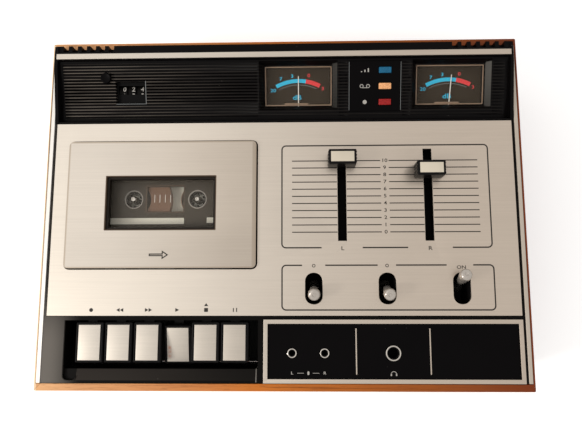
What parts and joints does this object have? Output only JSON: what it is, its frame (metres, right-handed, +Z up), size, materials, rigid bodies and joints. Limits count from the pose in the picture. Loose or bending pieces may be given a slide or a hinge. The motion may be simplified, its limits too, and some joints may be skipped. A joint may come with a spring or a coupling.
{
  "type": "cassette deck",
  "caption": "Top-loading stereo cassette deck: wood cabinet, aluminium faceplate, hinged lid, piano keys, slide level controls, toggle switches and a sloped bridge with two meters.",
  "frame": {"origin": "on the table, under the middle of the cabinet", "axes": "+X to the right seen from the front, +Y to the back with the meters, +Z up"},
  "size_m": [0.308, 0.226, 0.0987],
  "materials": {
    "wood": "oiled walnut grain",
    "aluminium": "brushed along the width",
    "black_plastic": "fine satin",
    "chrome": "polished",
    "zinc_steel": "zinc plated",
    "brass": "turned",
    "rubber": "matte",
    "clear_plastic": "clear",
    "smoke_plastic": "smoked",
    "cream_plastic": "plain",
    "tape_brown": "wound tape",
    "meter_scale": "plain",
    "amber_lens": "translucent",
    "circuit_board": "laminate"
  },
  "bodies": {
    "chassis": {"wood_cabinet": "wood", "side_trim_left": "aluminium", "side_trim_right": "aluminium", "base_plate": "zinc_steel", "foot_front_left": "rubber", "foot_front_right": "rubber", "foot_back_left": "rubber", "foot_back_right": "rubber", "top_moulding": "black_plastic", "faceplate": "aluminium", "meter_bridge": "black_plastic", "bridge_strip": "aluminium", "meter_left_case": "meter_scale", "meter_left_glass": "clear_plastic", "meter_right_case": "meter_scale", "meter_right_glass": "clear_plastic", "lamp_plate": "black_plastic", "lamp_lenses": "amber_lens", "jack_plate": "black_plastic", "jack_frame": "aluminium", "jack_sockets": "chrome", "counter_frame": "black_plastic", "cassette_shell": "smoke_plastic", "transport_plate": "zinc_steel", "drive_belt": "rubber", "motor": "zinc_steel", "key_shaft": "zinc_steel", "slider_tracks": "zinc_steel", "toggle_bodies": "black_plastic", "circuit_board": "circuit_board", "transformer": "zinc_steel", "rear_panel": "zinc_steel"},
    "supply_reel": {"spindle_supply": "black_plastic", "cassette_hub_left": "tape_brown"},
    "takeup_reel": {"spindle_takeup": "black_plastic", "cassette_hub_right": "tape_brown"},
    "lid": {"lid_plate": "aluminium", "lid_frame": "black_plastic", "lid_window": "clear_plastic"},
    "head_carriage": {"head_bridge": "zinc_steel"},
    "pinch_roller": {"pinch_roller": "rubber"},
    "flywheel": {"flywheel": "brass"},
    "motor_pulley": {"motor_pulley": "brass"},
    "slider_left": {"slider_knob_left": "black_plastic"},
    "slider_right": {"slider_knob_right": "black_plastic"},
    "toggle_noise": {"toggle_noise": "chrome"},
    "toggle_tape": {"toggle_tape": "chrome"},
    "toggle_power": {"toggle_power": "chrome"},
    "needle_left": {"meter_left_needle": "cream_plastic"},
    "needle_right": {"meter_right_needle": "cream_plastic"},
    "wheel_units": {"counter_wheel_units": "black_plastic"},
    "wheel_tens": {"counter_wheel_tens": "black_plastic"},
    "wheel_hundreds": {"counter_wheel_hundreds": "black_plastic"},
    "reset_button": {"counter_reset_button": "black_plastic"},
    "key_record": {"key_record": "black_plastic"},
    "key_rewind": {"key_rewind": "black_plastic"},
    "key_forward": {"key_forward": "black_plastic"},
    "key_play": {"key_play": "black_plastic"},
    "key_stop": {"key_stop": "black_plastic"},
    "key_pause": {"key_pause": "black_plastic"}
  },
  "joints": [
    {"name": "key_record_press", "type": "hinge", "parent": "chassis", "child": "key_record", "pos_m": [-0.12, -0.0581, 0.0756], "axis": [1, 0, 0], "range_deg": [0, 12], "stiffness_Nm_per_rad": 0.25, "springref_deg": -5.73},
    {"name": "key_rewind_press", "type": "hinge", "parent": "chassis", "child": "key_rewind", "pos_m": [-0.10187, -0.0581, 0.0756], "axis": [1, 0, 0], "range_deg": [0, 12], "stiffness_Nm_per_rad": 0.25, "springref_deg": -5.73},
    {"name": "key_forward_press", "type": "hinge", "parent": "chassis", "child": "key_forward", "pos_m": [-0.08374, -0.0581, 0.0756], "axis": [1, 0, 0], "range_deg": [0, 12], "stiffness_Nm_per_rad": 0.25, "springref_deg": -5.73},
    {"name": "key_play_press", "type": "hinge", "parent": "chassis", "child": "key_play", "pos_m": [-0.06561, -0.0581, 0.0756], "axis": [1, 0, 0], "range_deg": [-12, 0]},
    {"name": "key_stop_press", "type": "hinge", "parent": "chassis", "child": "key_stop", "pos_m": [-0.04748, -0.0581, 0.0756], "axis": [1, 0, 0], "range_deg": [0, 12], "stiffness_Nm_per_rad": 0.25, "springref_deg": -5.73},
    {"name": "key_pause_press", "type": "hinge", "parent": "chassis", "child": "key_pause", "pos_m": [-0.02935, -0.0581, 0.0756], "axis": [1, 0, 0], "range_deg": [0, 12], "stiffness_Nm_per_rad": 0.25, "springref_deg": -5.73},
    {"name": "lid_hinge", "type": "hinge", "parent": "chassis", "child": "lid", "pos_m": [-0.0775, 0.0314, 0.0826], "axis": [-1, 0, 0], "range_deg": [0, 45]},
    {"name": "head_slide", "type": "slide", "parent": "chassis", "child": "head_carriage", "axis": [0, 1, 0], "range_m": [-0.005, 0]},
    {"name": "pinch_roller_spin", "type": "hinge", "parent": "head_carriage", "child": "pinch_roller", "pos_m": [-0.0485, -0.0295, 0.06935], "axis": [0, 0, 1], "continuous": true},
    {"name": "flywheel_spin", "type": "hinge", "parent": "chassis", "child": "flywheel", "pos_m": [-0.0485, -0.0218, 0.0255], "axis": [0, 0, 1], "continuous": true},
    {"name": "motor_pulley_spin", "type": "hinge", "parent": "chassis", "child": "motor_pulley", "pos_m": [-0.118, -0.0351, 0.0255], "axis": [0, 0, 1], "continuous": true},
    {"name": "supply_reel_spin", "type": "hinge", "parent": "chassis", "child": "supply_reel", "pos_m": [-0.09925, 0.0085, 0.062], "axis": [0, 0, 1], "continuous": true},
    {"name": "takeup_reel_spin", "type": "hinge", "parent": "chassis", "child": "takeup_reel", "pos_m": [-0.05675, 0.0085, 0.062], "axis": [0, 0, 1], "continuous": true},
    {"name": "slider_left_slide", "type": "slide", "parent": "chassis", "child": "slider_left", "axis": [0, 1, 0], "range_m": [-0.0462, 0]},
    {"name": "slider_right_slide", "type": "slide", "parent": "chassis", "child": "slider_right", "axis": [0, 1, 0], "range_m": [-0.0388, 0.0074]},
    {"name": "toggle_noise_throw", "type": "hinge", "parent": "chassis", "child": "toggle_noise", "pos_m": [0.01995, -0.0484, 0.072], "axis": [1, 0, 0], "range_deg": [-28, 0]},
    {"name": "toggle_tape_throw", "type": "hinge", "parent": "chassis", "child": "toggle_tape", "pos_m": [0.0659, -0.0484, 0.072], "axis": [1, 0, 0], "range_deg": [-28, 0]},
    {"name": "toggle_power_throw", "type": "hinge", "parent": "chassis", "child": "toggle_power", "pos_m": [0.1121, -0.0484, 0.072], "axis": [1, 0, 0], "range_deg": [0, 28]},
    {"name": "needle_left_swing", "type": "hinge", "parent": "chassis", "child": "needle_left", "pos_m": [0.0106, 0.06853, 0.07434], "axis": [0, -0.2649, 0.9643], "range_deg": [-40, 40], "stiffness_Nm_per_rad": 0.00001},
    {"name": "needle_right_swing", "type": "hinge", "parent": "chassis", "child": "needle_right", "pos_m": [0.111, 0.06853, 0.07434], "axis": [0, -0.2649, 0.9643], "range_deg": [-36, 44], "stiffness_Nm_per_rad": 0.00001},
    {"name": "wheel_hundreds_spin", "type": "hinge", "parent": "chassis", "child": "wheel_hundreds", "pos_m": [-0.1067, 0.08135, 0.07485], "axis": [1, 0, 0], "continuous": true},
    {"name": "wheel_tens_spin", "type": "hinge", "parent": "chassis", "child": "wheel_tens", "pos_m": [-0.1007, 0.08135, 0.07485], "axis": [1, 0, 0], "continuous": true},
    {"name": "wheel_units_spin", "type": "hinge", "parent": "chassis", "child": "wheel_units", "pos_m": [-0.0947, 0.08135, 0.07485], "axis": [1, 0, 0], "continuous": true},
    {"name": "reset_press", "type": "slide", "parent": "chassis", "child": "reset_button", "axis": [0, 0.2649, -0.9643], "range_m": [0, 0.0025], "stiffness_N_per_m": 150, "springref_m": -0.002}
  ],
  "couplings": [
    {"joint": "key_play_press", "follows": "head_slide", "rad_per_m": 41.888},
    {"joint": "motor_pulley_spin", "follows": "flywheel_spin", "ratio": 6.2222},
    {"joint": "pinch_roller_spin", "follows": "flywheel_spin", "ratio": -0.15625},
    {"joint": "takeup_reel_spin", "follows": "supply_reel_spin", "ratio": 2.1552},
    {"joint": "wheel_units_spin", "follows": "supply_reel_spin", "ratio": 0.3},
    {"joint": "wheel_tens_spin", "follows": "supply_reel_spin", "ratio": 0.03},
    {"joint": "wheel_hundreds_spin", "follows": "supply_reel_spin", "ratio": 0.003}
  ]
}
